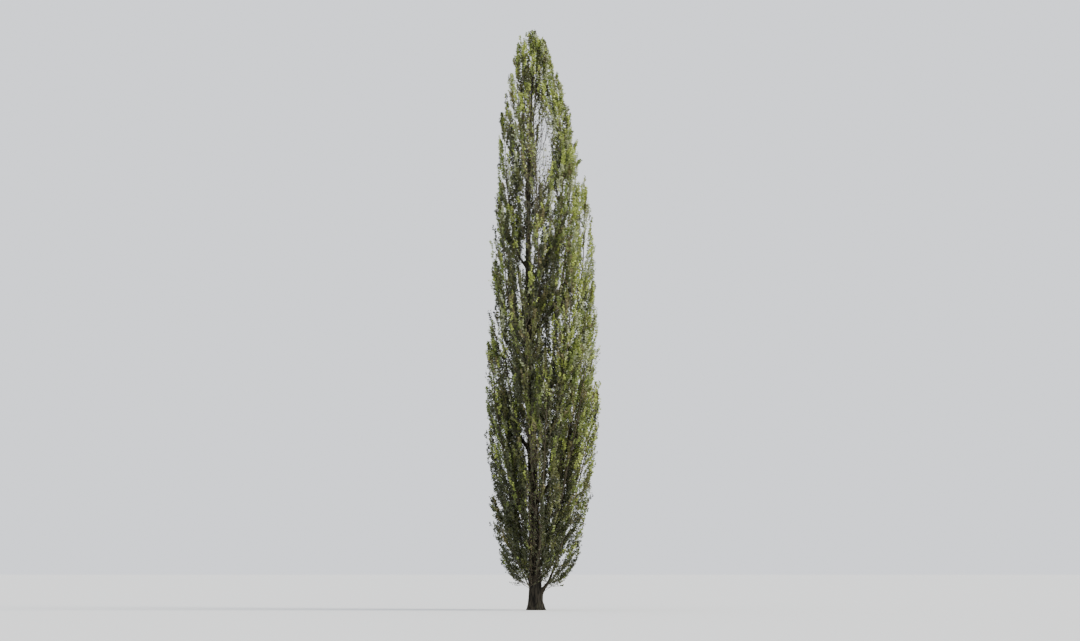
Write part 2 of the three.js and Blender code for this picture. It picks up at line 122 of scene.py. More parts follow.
# Inner plumes, which spring from the trunk, and the plume at its tip
INNER_COUNT = count_of_nodes("foliage_inner_")
INNER_FOOT_LOWEST = 0.62
INNER_FOOT_HIGHEST = 18.6
INNER_CROWDING = 1.6  # above 1 there are more of them low down
INNER_LENGTH_LOW = 3.6
INNER_LENGTH_HIGH = 4.4
INNER_REACH_LOW = 1.75  # how far from the trunk's axis an inner stem ends
INNER_REACH_HIGH = 0.5
INNER_BEND = 0.8  # below 1 an inner stem leans out most at its foot
INNER_RADIUS = 0.64
INNER_STEM_RADIUS = 0.032
INNER_TO_TRUNK = 0.5  # an inner stem is at most this share of the trunk's radius
INNER_TRIES = 36  # azimuths tried for each
ROOM_PLACES = [0.3, 0.45, 0.6, 0.75, 0.9]  # shares of its length where its room is measured
FOOT_PLACES = 0.01 * np.arange(1, 31)  # and where it could cross a bough
CROSSING_CLEARANCE = 0.11  # from an inner stem's line to a bough's, outside the trunk
TIP_RADIUS = 0.6
TIP_TOP = 24.03
LEADER_FOOT = 20.2  # from here up the trunk carries branches of the tip plume

# Each stem is carried on past the end of the solid's stem
FINE_END = 1.35  # by this length, where the crown has room for it
FINE_END_SHARES = np.linspace(1, 0.2, 9)  # or else by the first of these shares that it has room for
FINE_END_REACH = 0.97  # share of the crown's radius that the end keeps within
STEM_END_RADIUS = 0.006
STEM_THINNING = 0.85  # below 1 a stem thins soonest near its foot

# How many points of a line are taken
SKY_POINTS = 12  # of a stem, to set it against the sky gaps
LENGTH_POINTS = 20  # of a bough, to measure it
BOUGH_POINTS = 9  # of a bough, to find the room beside it
STEM_POINTS = 6  # of a stem, for the same
PLUME_POINTS = 8  # of a stem with its fine end, to find its plume's own space
LEAFY_BOUGH_POINTS = 5  # of the leafy part of a bough, for the same

# Upright ovals, seen from the front, where the sky shows right through. Stems pass beside them.
SKY_GAPS = [
    {"x": 0.4, "z": 19.2, "half_width": 0.29, "half_height": 2.2},
    {"x": -0.47, "z": 7.0, "half_width": 0.14, "half_height": 1.0},
    {"x": 0.8, "z": 8.9, "half_width": 0.14, "half_height": 0.7},
    {"x": -0.56, "z": 15.1, "half_width": 0.13, "half_height": 0.6},
]
STEM_BESIDE_GAP = 0.09  # a stem keeps this far from a gap

# Where leaves are few or missing, seen from the front, and the share of them that stays
BARE_OVALS = [
    {"x": 0.37, "z": 19.6, "half_width": 0.3, "half_height": 1.8, "keeps": 0.05},
    {"x": 0.08, "z": 17.9, "half_width": 0.12, "half_height": 1.1, "keeps": 0.2},
    {**SKY_GAPS[1], "keeps": 0.4},
    {**SKY_GAPS[2], "keeps": 0.4},
    {**SKY_GAPS[3], "keeps": 0.3},
    {"x": -0.3, "z": 12.6, "half_width": 0.1, "half_height": 0.8, "keeps": 0.4},
    {"x": 1.15, "z": 14.6, "half_width": 0.12, "half_height": 0.8, "keeps": 0.4},
    {"x": -1.15, "z": 10.2, "half_width": 0.12, "half_height": 1.2, "keeps": 0.4},
    {"x": -1.0, "z": 18.4, "half_width": 0.12, "half_height": 0.8, "keeps": 0.4},
]
OVAL_EDGE = (0.6, 1.5)  # between these shares of an oval's size the leaves close in
GAP_CROSSINGS = 0.9  # the share of branches that may cross a bare oval

# The thin patch at the upper left, where twigs show against the sky
THIN_PATCH = {"x": -1.0, "z": 21.6, "half_width": 0.9, "half_height": 2.9, "keeps": 0.9}
THIN_PATCH_EDGE = (0.5, 1.15)

# Heights between which the trunk shows through thin foliage, and the share of leaves that stays there
TRUNK_VIEWS = [
    {"from": 1.0, "to": 7.5, "keeps": 0.2},
    {"from": 14.5, "to": 22.3, "keeps": 0.35},
]
TRUNK_VIEW_HALF_WIDTH = 0.28

# Leaves are fewer deep in the crown, where there is little light, and at its feathery edge
INNER_KEEPS = 0.52
INNER_PART = (0.3, 0.75)  # shares of the crown's radius between which they come up to full number
EDGE_KEEPS = 0.7
EDGE_PART = (0.86, CROWN_EDGE)

# Branches on the stems and the boughs
BRANCH_SPACING = 0.162  # along the stem
BRANCH_CROWDING = 1.25  # above 1 there are more near the stem's foot
HIGHEST_BRANCH = 0.96  # share of the stem's length
LOW_CROWDING = 1.45  # the lowest plumes have this many times as many branches
LOW_PLUMES = (1.5, 5.5)  # heights of their feet
TOP_CROWDING = 1.25  # and the highest ones this many times
TOP_PLUMES = (15, 19)
BOUGH_SPACING = 0.6  # along a bough, beside that along its stem
BARE_BOUGH = 0.12  # the share of a bough, from the trunk, that has no branches
BRANCH_LENGTH = 2.8
BRANCH_VARIES = (0.6, 1.15)  # shares of that length
BRANCH_SCALING = 0.25  # the power of the plume's radius that it goes by
BRANCH_TRIES = (1.0, 0.7, 0.45)  # shares of its own length that are tried until one fits
SHORTENING = (0.55, 1.0)  # shares of a stem between which its branches get shorter
SHORT_BRANCH = 0.45  # a branch's length at the stem's end, beside one at its foot
BRANCH_LEAN = math.radians(58)
LEAN_VARIES = (0.7, 1.3)  # shares of the usual lean, for branches and shoots
LOW_LEAN = 1.4  # branches near the ground lean out this many times as much
LOW_LEAN_FADES = (1.2, 6)  # between these heights
BRANCH_WANDER = 0.7  # radians by which a branch may be past its place in the spiral
BRANCH_RADIUS = 0.014
BRANCH_TAPER = np.array([1, 0.75, 0.45])  # at its first three stations
PLUME_SPREAD = 1.7  # branches keep within this many plume radii of their own plume's line
SPACE_MARGIN = 0.035  # share of a plume's radius at each side of its border

# Shoots on the branches, and round the end of each stem
SHOOTS_PER_BRANCH = 11
LOWEST_SHOOT = 0.12  # share of the branch's length
HIGHEST_SHOOT = 0.98
LEAFY_END = 1.3  # the length of a stem's end with shoots of its own
END_SHOOTS = 22
SHOOT_LENGTH = 0.54
SHOOT_VARIES = (0.6, 1.25)
SHOOT_SCALING = 0.5
SHOOT_AT_FOOT = 1.2  # times that length at the branch's foot, then less and less
SHOOT_AT_TIP = 0.6
SHOOT_AT_STEM_END = 0.25
SHOOT_LEAN = math.radians(27)
SHOOT_TURN = 0.15  # the share of its lean that a shoot still has at its end
SHOOT_RADIUS = 0.0045
SHOOT_TAPER = np.array([1, 0.6])
RAGGED_EDGE = (0.94, CROWN_EDGE)  # each shoot ends within a share of the crown's radius between these

# Leaves on the shoots
LEAVES_PER_SHOOT = 16
LOWEST_LEAF = 0.12  # share of the shoot's length
LEAF_LENGTH = 0.085
LEAF_WIDTH = 0.082
LEAF_VARIES = (0.7, 1.15)
LEAF_AT_FOOT = 1.1  # times that length at the shoot's foot, and the next at its tip
LEAF_AT_TIP = 0.8
LEAF_AHEAD = 0.5  # how much a leaf points along its shoot, and the next away from it
LEAF_ASIDE = 0.85
LEAF_DROOP = (-0.3, 0.8)
LEAF_FACES_UP = 0.5

STATIONS = np.array([0.0, 0.35, 0.7, 1.0])  # where each branch and shoot has a ring of corners
TIERS = 8  # the foliage is made in this many tiers, each a piece of twigs and a piece of leaves
FIRST_PLUME_SEED = 400
FIRST_TINT_SEED = 500

# Bark
TRUNK_SIDES = 144
TRUNK_CUTS = [15, 15]  # two rounds of cuts, which give 256 rings
RING_CROWDING = 1.5  # above 1 the trunk's rings are closer together near the ground
BOUGH_SIDES = 18
STEM_SIDES = 9
LIMB_CUTS = [6, 6]  # 49 rings
RIDGE_WIDTH = 0.1
RIDGE_LENGTH = 0.52
RIDGE_SWELL = 0.3  # how far a ridge stands out, beside its furrow's depth
FURROW_DEPTH = 0.026  # at the foot of the trunk
FURROW_WIDTH = 0.16  # share of the noise's height
CRACK_WIDTH = 0.14
CRACK_SIZE = np.array([0.42, 0.3])  # the cells between cracks beside ridges, across and along
CRACK_DEPTH = 0.35
DEEPEST_FURROW = 1.2
CRACK_OFFSET = 7  # takes the cracks' noise from another place
HIGH_FURROWS = 0.25  # the share of the furrows' depth that is left high up
FURROW_FADE = 8  # metres of height over which they get shallower
SMOOTH_LIMB = (0.02, 0.16)  # radii between which bark turns from smooth to furrowed
BOUGH_RIDGES = 0.5  # size of a bough's ridges beside the trunk's
BOUGH_FURROW_DEPTH = 0.005
TRUNK_WAVE = (0.05, 0.5, 0.8)  # share by which the radius varies, and the waves' width and height
BOUGH_WAVE = (0.09, 0.14, 0.25)
STEM_WAVE = (0.12, 0.09, 0.2)
COLLAR_REACH = 1.9  # a bough's collar spreads this many times its radius from the trunk
COLLAR_PLACES = np.linspace(0, 0.5, 9)  # shares of a bough's length that the trunk swells towards
COLLAR_BELOW = 0.5  # and it may do so from this far below the bough's start
SMOOTH_ANGLE = math.radians(50)  # faces of a limb that meet at less than this look smooth

# How dark bark is, from 0 for a ridge's colour to 1 for a furrow's. A furrow's darkness is partly the bark's
# own and partly painted shade, which on the trunk grows with the furrow's depth.
TRUNK_DARKNESS = 1.4  # of a furrow, for its share of the full depth, as painted shade
BOUGH_DARKNESS = 0.7
STEM_DARKNESS = 0.15
OLD_BARK_DARKNESS = 0.45  # added at a bough's foot, where its bark is as old as the trunk's
OLD_BARK_REACH = 0.45  # metres from the trunk over which that fades

UP = np.array([0.0, 0.0, 1.0])
RIGHT = np.array([1.0, 0.0, 0.0])
BACK = np.array([0.0, 1.0, 0.0])
STEEP = 0.9  # the upward share of a direction from which it counts as steep


# Small geometry

def lerp(a, b, t):
    return a + (b - a) * t


def smoothstep(x, low, high):
    t = np.clip((x - low) / (high - low), 0, 1)
    return t * t * (3 - 2 * t)


def unit(vectors):
    return vectors / np.linalg.norm(vectors, axis=-1, keepdims=True)


def heading(azimuth):
    azimuth = np.asarray(azimuth, float)
    return np.stack([np.cos(azimuth), np.sin(azimuth), np.zeros_like(azimuth)], axis=-1)


def at_height(x, y, height):
    height = np.asarray(height, float)
    return np.stack([x + 0 * height, y + 0 * height, height], axis=-1)


def across(directions, turn):
    """Unit vectors at right angles to the directions, turned round them."""
    helper = np.where(np.abs(directions[..., 2:3]) < STEEP, UP, RIGHT)
    first = unit(np.cross(directions, helper))
    second = np.cross(directions, first)
    return first * np.cos(turn)[..., None] + second * np.sin(turn)[..., None]


def tangent_of(point_at):
    step = 0.01
    return lambda t: unit(point_at(np.minimum(t + step, 1)) - point_at(np.maximum(t - step, 0)))


def line_of(point_at, points, start=0.0):
    return point_at(np.linspace(start, 1, points))


def distance(points, lines):
    """How far each point lies from the nearest of the lines."""
    starts = np.concatenate([line[:-1] for line in lines])
    along = np.concatenate([line[1:] - line[:-1] for line in lines])
    offset = points[:, None, :] - starts[None]
    t = np.clip((offset * along).sum(axis=2) / (along**2).sum(axis=1), 0, 1)
    return np.linalg.norm(offset - t[..., None] * along, axis=2).min(axis=1)


# The crown and the trunk

def crown_radius(height):
    share = np.clip(np.asarray(height) / TREE_HEIGHT, 0, 1)
    return CROWN_RADIUS * np.maximum(np.sin(math.pi * share**CROWN_SKEW), 0) ** CROWN_BLUNTNESS


def crown_centre(height):
    return at_height(CROWN_SHIFT * np.sin(math.pi * height / TREE_HEIGHT), 0, height)


def trunk_centre(height):
    share = np.asarray(height) / TREE_HEIGHT
    x = -TRUNK_SWAY * np.sin(math.pi * share**SWAY_SKEW)
    return at_height(x, DEPTH_SWAY * np.sin(2 * math.pi * share), height)


def trunk_radius(height):
    taper = (1 - height / TREE_HEIGHT) ** TRUNK_TAPER
    return TRUNK_RADIUS * taper + ROOT_FLARE * np.exp(-height / FLARE_HEIGHT)


def from_oval(oval, points, wider=0.0):
    """How far each point is from the middle of an oval, seen from the front, where 1 is its edge."""
    x = (points[:, 0] - oval["x"]) / (oval["half_width"] + wider)
    return np.hypot(x, (points[:, 2] - oval["z"]) / oval["half_height"])


def top_lean(height):
    """How far left the leafy crown's top leans at a height."""
    return TOP_LEAN * smoothstep(height, *TOP_LEAN_COMES)


def crown_share(points):
    """How far out each point is, as a share of the crown's radius at its height."""
    aside = points - crown_centre(points[:, 2]) + RIGHT * top_lean(points[:, 2])[:, None]
    reach = np.linalg.norm(aside[:, :2], axis=1)
    return reach / np.maximum(crown_radius(points[:, 2]), LEAST_RADIUS)


def in_crown(points, foot, share=1.0):
    """True inside the crown above its foot, where share is how much of its radius may be used."""
    within = crown_share(points) <= share
    return within & (points[:, 2] >= foot) & (points[:, 2] <= TREE_HEIGHT)


# Plumes: the line of each one's stem

def clear_of_sky(point_at):
    """True if a stem passes every sky gap at its side and not before or behind it."""
    points = line_of(point_at, SKY_POINTS)
    return all(from_oval(gap, points, STEM_BESIDE_GAP).min() >= 1 for gap in SKY_GAPS)


def bough_plume(index):
    """The stem leans out from its bough until it follows the crown's outline, just inside it."""
    share = index / (BOUGH_COUNT - 1)
    foot = lerp(PLUME_FOOT_LOWEST, PLUME_FOOT_HIGHEST, share**FOOT_CROWDING)
    length = lerp(PLUME_LENGTH_LOW, PLUME_LENGTH_HIGH, share)
    radius = lerp(PLUME_RADIUS_LOW, PLUME_RADIUS_HIGH, share**RADIUS_SKEW)
    foot_reach = lerp(FOOT_REACH_LOW, FOOT_REACH_HIGH, share**REACH_SKEW)

    def towards(azimuth):
        def point_at(t):
            t = np.asarray(t, float)
            height = foot + length * t
            full_reach = crown_radius(height) - radius * lerp(1, TIP_TO_PLUME, t * t)
            reach = full_reach * lerp(foot_reach, 1, smoothstep(t, LEAN_OUT_FROM, LEAN_OUT_TO))
            return crown_centre(height) + heading(azimuth) * reach[..., None]
        return point_at

    wanted = FIRST_AZIMUTH + index * GOLDEN_ANGLE
    turns = [(1 if i % 2 else -1) * math.ceil(i / 2) * TURN_STEP for i in range(TURN_TRIES)]
    azimuth = next((wanted + turn for turn in turns if clear_of_sky(towards(wanted + turn))), wanted)
    return {"name": f"foliage_{index + 1:02d}", "azimuth": azimuth, "radius": radius,
            "length": length, "point_at": towards(azimuth)}


def inner_plume(index, lines):
    """The stem starts at the trunk's axis and leans out to the side where it has most room."""
    share = index / (INNER_COUNT - 1)
    foot = lerp(INNER_FOOT_LOWEST, INNER_FOOT_HIGHEST, share**INNER_CROWDING)
    length = lerp(INNER_LENGTH_LOW, INNER_LENGTH_HIGH, share)
    reach = lerp(INNER_REACH_LOW, INNER_REACH_HIGH, share**REACH_SKEW)

    def towards(azimuth):
        def point_at(t):
            t = np.asarray(t, float)
            return trunk_centre(foot + length * t) + heading(azimuth) * (reach * t**INNER_BEND)[..., None]
        return point_at

    def room(azimuth):
        """Whether the stem would be free of boughs and sky gaps, and how much room it would have."""
        point_at = towards(azimuth)
        near = point_at(FOOT_PLACES)
        from_axis = np.linalg.norm(near - trunk_centre(near[:, 2]), axis=1)
        outside_trunk = near[from_axis > trunk_radius(near[:, 2])]
        crosses = distance(outside_trunk, lines).min() < CROSSING_CLEARANCE
        is_free = not crosses and clear_of_sky(point_at)
        return is_free, distance(point_at(ROOM_PLACES), lines).min()

    azimuth = max((i / INNER_TRIES * 2 * math.pi for i in range(INNER_TRIES)), key=room)
    return {"name": f"foliage_inner_{index + 1:02d}", "azimuth": azimuth, "radius": INNER_RADIUS,
            "length": length, "point_at": towards(azimuth), "foot_limb": None,
            "stem_radius": min(INNER_STEM_RADIUS, INNER_TO_TRUNK * trunk_radius(foot))}


def tip_plume():
    """The stem carries the leader on. The top of the trunk is its foot limb, as a bough is of others."""
    def leader_at(t):
        return trunk_centre(lerp(LEADER_FOOT, TRUNK_LENGTH, np.asarray(t, float)))

    def point_at(t):
        return trunk_centre(lerp(TRUNK_LENGTH, TIP_TOP, np.asarray(t, float)))

    return {"name": "foliage_tip", "azimuth": 0.0, "radius": TIP_RADIUS,
            "length": TIP_TOP - TRUNK_LENGTH, "point_at": point_at,
            "foot_limb": {"point_at": leader_at, "length": TRUNK_LENGTH - LEADER_FOOT},
            "stem_radius": STEM_TO_LIMB * trunk_radius(TRUNK_LENGTH)}


def bough_line(plume):
    """A bough leaves the trunk's axis below its plume and comes round to the line of its stem."""
    end = plume["point_at"](0.0)
    reach = np.linalg.norm((end - trunk_centre(end[2]))[:2])
    start = trunk_centre(max(end[2] - BOUGH_RISE * reach, BOUGH_LOWEST))
    handle = BOUGH_EASE * np.linalg.norm(end - start)
    leaving = heading(plume["azimuth"]) * math.sin(BOUGH_LEAN) + UP * math.cos(BOUGH_LEAN)
    entering = tangent_of(plume["point_at"])(np.array(0.0))
    corners = [start, start + leaving * handle, end - entering * handle, end]

    def point_at(t):
        t = np.asarray(t, float)[..., None]
        a, b, c, d = corners
        return a * (1 - t)**3 + 3 * b * t * (1 - t)**2 + 3 * c * t * t * (1 - t) + d * t**3

    foot_radius = min(BOUGH_RADIUS, BOUGH_TO_TRUNK * trunk_radius(start[2]))
    return {"azimuth": plume["azimuth"], "point_at": point_at,
            "length": np.linalg.norm(np.diff(line_of(point_at, LENGTH_POINTS), axis=0), axis=1).sum(),
            "radius_at": lambda t: foot_radius * lerp(1, BOUGH_TAPER, t)}


outer_plumes = [bough_plume(i) for i in range(BOUGH_COUNT)]
boughs = [bough_line(plume) for plume in outer_plumes]
for plume, bough in zip(outer_plumes, boughs):
    plume["foot_limb"] = bough
    plume["stem_radius"] = STEM_TO_LIMB * bough["radius_at"](1)
bough_lines = [line_of(bough["point_at"], BOUGH_POINTS) for bough in boughs]
stem_lines = [line_of(plume["point_at"], STEM_POINTS) for plume in outer_plumes]
inner_plumes = []
for i in range(INNER_COUNT):
    inner_plumes.append(inner_plume(i, bough_lines + stem_lines))
    stem_lines.append(line_of(inner_plumes[-1]["point_at"], STEM_POINTS))
plumes = outer_plumes + inner_plumes + [tip_plume()]


def with_fine_end(plume):
    """The stem's line, carried on past the end of the solid's stem as far as the crown goes, and its
    length. It leans over with the crown's top."""
    stem_at, length = plume["point_at"], plume["length"]
    onward = tangent_of(stem_at)(np.array(1.0))
    foot_lean = top_lean(stem_at(0.0)[2])

    def after(run):
        past = np.maximum(run - length, 0)
        line = stem_at(np.minimum(run / length, 1)) + onward * past[..., None]
        return line - RIGHT * (top_lean(line[..., 2]) - foot_lean)[..., None]

    lengths = length + FINE_END * FINE_END_SHARES
    has_room = in_crown(after(lengths), TWIGS_FOOT, FINE_END_REACH)
    whole = lengths[np.argmax(has_room) if has_room.any() else -1]
    return lambda t: after(np.asarray(t, float) * whole), whole


for plume in plumes:
    plume["whole_stem_at"], plume["whole_length"] = with_fine_end(plume)
    plume["space_line"] = line_of(plume["whole_stem_at"], PLUME_POINTS)
    if plume["foot_limb"]:
        leafy_part = line_of(plume["foot_limb"]["point_at"], LEAFY_BOUGH_POINTS, BARE_BOUGH)
        plume["space_line"] = np.vstack([leafy_part[:-1], plume["space_line"]])


# Limbs, each bent from a cylinder

LEVEL = 1e-4  # the ends of a level edge of the cylinder differ by less than this


def deselect_all():
    bpy.ops.object.select_all(action="DESELECT")


def select_only(pieces):
    deselect_all()
    for piece in pieces:
        piece.select_set(True)
    bpy.context.view_layer.objects.active = pieces[0]


def cylinder_with_rings(name, sides, cuts):
    """A cylinder from z -0.5 to 0.5. Its sides are cut into rings, once for each number in cuts."""
    deselect_all()
    bpy.ops.mesh.primitive_cylinder_add(vertices=sides, radius=1, depth=1)
    piece = bpy.context.active_object
    piece.name = name
    piece.data.name = name
    bpy.ops.object.mode_set(mode="EDIT")
    for number in cuts:
        cage = bmesh.from_edit_mesh(piece.data)
        for part in (*cage.verts, *cage.edges, *cage.faces):
            part.select_set(False)
        for edge in cage.edges:
            is_level = math.isclose(edge.verts[0].co.z, edge.verts[1].co.z, abs_tol=LEVEL)
            edge.select_set(not is_level)
        bmesh.update_edit_mesh(piece.data)
        bpy.ops.mesh.subdivide(number_cuts=number)
    bpy.ops.object.mode_set(mode="OBJECT")
    return piece


def limb(name, point_at, tangent_at, surface_at, side, sides, cuts, station_at=lambda t: t):
    """Bends a cylinder onto a line. surface_at takes the share along it, the angle round it and the
    middle and outward direction there, and gives the radius and how dark the bark is."""
    piece = cylinder_with_rings(name, sides, cuts)
    mesh = piece.data
    corners = np.empty(len(mesh.vertices) * 3)
    mesh.vertices.foreach_get("co", corners)
    corners = corners.reshape(-1, 3)
    t = station_at(np.clip(corners[:, 2] + 0.5, 0, 1))
    angle = np.arctan2(corners[:, 1], corners[:, 0])
    tangent = tangent_at(t)
    sideways = unit(side - tangent * (tangent @ side)[:, None])
    outward = np.cross(sideways, tangent)
    radial = outward * np.cos(angle)[:, None] + sideways * np.sin(angle)[:, None]
    middle = point_at(t)
    radius, darkness = surface_at(t, angle, middle, radial)
    mesh.vertices.foreach_set("co", (middle + radial * radius[:, None]).ravel())
    mesh.attributes.new("furrow", "FLOAT", "POINT").data.foreach_set("value", darkness.astype(np.float32))
    mesh.update()
    return piece


def noise_at(points, across_size, along_size):
    """Noise whose cells are across_size wide and along_size tall."""
    scaled = points / np.array([across_size, across_size, along_size])
    return np.array([noise.noise(Vector(point)) for point in scaled])


def waved(radius, middle, radial, wave):
    """The radius, made a little uneven."""
    share, width, height = wave
    return radius * (1 + share * noise_at(middle + radial * radius[:, None], width, height))


def bark_relief(surface, size, depth):
    """Furrows run where the noise crosses zero, so they branch and join round long ridges. size is
    that of the ridges beside the trunk's."""
    width, length = RIDGE_WIDTH * size, RIDGE_LENGTH * size
    ridges = noise_at(surface, width, length)
    cells = noise_at(surface + CRACK_OFFSET, *(CRACK_SIZE * [width, length]))
    furrow = np.exp(-((ridges / FURROW_WIDTH) ** 2))
    crack = np.exp(-((cells / CRACK_WIDTH) ** 2))
    furrow = np.clip(furrow + CRACK_DEPTH * crack, 0, DEEPEST_FURROW)
    return depth * (RIDGE_SWELL * ridges - furrow), furrow


def fluted_radius(height, angle):
    flute = FLUTE_DEPTH * np.exp(-height / FLUTE_HEIGHT) * np.cos(FLUTE_COUNT * angle)
    return trunk_radius(height) * (1 + flute)


def collar_swelling(gap, reach):
    """How far a limb's surface swells where another limb's lies the given gap away, so that the two
    run into each other. At reach and beyond there is no swelling."""
    return np.clip(reach - np.maximum(gap, 0), 0, None) ** 2 / (4 * reach)


def trunk_surface(t, angle, middle, radial):
    height = TRUNK_LENGTH * t
    radius = fluted_radius(height, angle)
    depth = FURROW_DEPTH * lerp(HIGH_FURROWS, 1, np.exp(-height / FURROW_FADE))
    depth = depth * smoothstep(radius, *SMOOTH_LIMB)
    radius = waved(radius, middle, radial, TRUNK_WAVE)
    surface = middle + radial * radius[:, None]
    relief, furrow = bark_relief(surface, 1.0, depth)
    swelling = np.zeros(len(t))
    for bough in boughs:
        foot_radius = bough["radius_at"](0)
        line = bough["point_at"](COLLAR_PLACES)
        near = (height > line[0, 2] - COLLAR_BELOW) & (height < line[-1, 2])
        gap = distance(surface[near], [line]) - foot_radius
        swelling[near] = np.maximum(swelling[near], collar_swelling(gap, COLLAR_REACH * foot_radius))
    # The furrows darken with their depth, as painted shade
    return radius + swelling + relief, furrow * np.clip(TRUNK_DARKNESS * depth / FURROW_DEPTH, 0, 1)


def bough_surface(bough):
    """A bough swells where it meets the trunk, and has the trunk's dark bark there."""
    def surface_at(t, angle, middle, radial):
        radius = waved(bough["radius_at"](t), middle, radial, BOUGH_WAVE)
        surface = middle + radial * radius[:, None]
        relief, furrow = bark_relief(surface, BOUGH_RIDGES, BOUGH_FURROW_DEPTH)
        from_axis = surface - trunk_centre(surface[:, 2])
        round_trunk = np.arctan2(from_axis[:, 1], from_axis[:, 0])
        gap = np.hypot(from_axis[:, 0], from_axis[:, 1]) - fluted_radius(surface[:, 2], round_trunk)
        swelling = collar_swelling(gap, COLLAR_REACH * bough["radius_at"](0))
        age = np.exp(-np.maximum(gap, 0) / OLD_BARK_REACH)
        darkness = np.clip(BOUGH_DARKNESS * furrow + OLD_BARK_DARKNESS * age, 0, 1)
        return radius + swelling + relief, darkness
    return surface_at


def stem_surface(plume):
    """A stem thins from the end of its limb to its own fine end."""
    def surface_at(t, angle, middle, radial):
        radius = lerp(plume["stem_radius"] / STEM_TO_LIMB, STEM_END_RADIUS, t**STEM_THINNING)
        return waved(radius, middle, radial, STEM_WAVE), np.full(len(t), STEM_DARKNESS)
    return surface_at


def joined(name, pieces):
    select_only(pieces)
    bpy.ops.object.join()
    pieces[0].name = name
    pieces[0].data.name = name
    return pieces[0]


def limb_along(name, azimuth, point_at, surface_at, sides):
    side = heading(azimuth + math.pi / 2)
    return limb(name, point_at, tangent_of(point_at), surface_at, side, sides, LIMB_CUTS)


trunk = limb(
    "trunk_bark",
    point_at=lambda t: trunk_centre(TRUNK_LENGTH * t),
    tangent_at=lambda t: np.tile(UP, (len(t), 1)),
    surface_at=trunk_surface,
    side=BACK,
    sides=TRUNK_SIDES,
    cuts=TRUNK_CUTS,
    station_at=lambda t: t**RING_CROWDING,
)
bough_limbs = joined("bough_limbs", [
    limb_along(f"bough_limb_{i}", bough["azimuth"], bough["point_at"], bough_surface(bough), BOUGH_SIDES)
    for i, bough in enumerate(boughs)
])
plume_stems = joined("plume_stems", [
    limb_along(f"plume_stem_{i}", plume["azimuth"], plume["whole_stem_at"], stem_surface(plume), STEM_SIDES)
    for i, plume in enumerate(plumes)
])
for piece in (trunk, bough_limbs, plume_stems):
    select_only([piece])
    bpy.ops.object.shade_smooth_by_angle(angle=SMOOTH_ANGLE)


# Branches, shoots and leaves

def offshoots(start, along, outward, lean, turn, length):
    """Paths that leave their parent at an angle, lean, and soon turn up until only the share turn of
    it is left at their end. The difference fades as (1 - s)**2. Each has a point at every station."""
    first = along * np.cos(lean)[:, None] + outward * np.sin(lean)[:, None]
    last = along * np.cos(turn * lean)[:, None] + outward * np.sin(turn * lean)[:, None]
    s = STATIONS[None, :, None]
    run = s * last[:, None] + (1 - (1 - s) ** 3) / 3 * (first - last)[:, None]
    return start[:, None] + length[:, None, None] * run


def points_on(paths, shares):
    """Points at the shares along each path, and the path's direction there."""
    segment = np.clip(np.searchsorted(STATIONS, shares, side="right") - 1, 0, len(STATIONS) - 2)
    local = (shares - STATIONS[segment]) / (STATIONS[segment + 1] - STATIONS[segment])
    a = np.take_along_axis(paths, segment[..., None], axis=1)
    b = np.take_along_axis(paths, segment[..., None] + 1, axis=1)
    return lerp(a, b, local[..., None]), unit(b - a)


def spread_shares(rows, count, low, high, random):
    """For each row, count shares from low to high, each moved at random within its own step."""
    steps = (np.arange(count) + random.random((rows, count))) / count
    return lerp(low, high, steps)


def spiral_turns(rows, count, random):
    """For each row, count angles that step round by the golden angle from a start of the row's own."""
    return np.arange(count) * GOLDEN_ANGLE + random.uniform(0, 2 * math.pi, (rows, 1))


def fits(points, plume):
    """True for each point in the crown that is near its own plume's line, and nearer to it than to
    any other's, as shares of the plumes' radii."""
    own = distance(points, [plume["space_line"]]) / plume["radius"]
    others = np.min([distance(points, [other["space_line"]]) / other["radius"]
                     for other in plumes if other is not plume], axis=0)
    return in_crown(points, TWIGS_FOOT) & (own <= PLUME_SPREAD) & (own <= others + 2 * SPACE_MARGIN)


def grow_branches(plume, point_at, low, length, spacing, random):
    """Branches climb off a limb in a spiral, and each is the longest of three that fits."""
    count = int(length * (1 - low) / spacing)
    t = lerp(low, HIGHEST_BRANCH, spread_shares(1, count, 0, 1, random)[0] ** BRANCH_CROWDING)
    may_cross = random.random(count) < GAP_CROSSINGS
    start = point_at(t)
    along = tangent_of(point_at)(t)
    outward = heading(np.arange(count) * GOLDEN_ANGLE + BRANCH_WANDER * random.random(count))
    low_down = 1 - smoothstep(start[:, 2], *LOW_LEAN_FADES)
    lean = BRANCH_LEAN * random.uniform(*LEAN_VARIES, count) * lerp(1, LOW_LEAN, low_down)
    size = (plume["radius"] / PLUME_RADIUS_LOW) ** BRANCH_SCALING
    size = size * lerp(1, SHORT_BRANCH, smoothstep(t, *SHORTENING))
    full = BRANCH_LENGTH * size * random.uniform(*BRANCH_VARIES, count)
    kept = np.zeros((count, len(STATIONS), 3))
    found = np.zeros(count, bool)
    for share in BRANCH_TRIES:
        paths = offshoots(start, along, outward, lean, 0.0, share * full)
        outer_points = [paths[:, station] for station in range(1, len(STATIONS))]
        good = ~found & np.all([fits(points, plume) for points in outer_points], axis=0)
        in_oval = [from_oval(oval, points) < 1 for oval in BARE_OVALS for points in outer_points]
        good &= may_cross | ~np.any(in_oval, axis=0)
        kept[good] = paths[good]
        found |= good
    return kept[found]


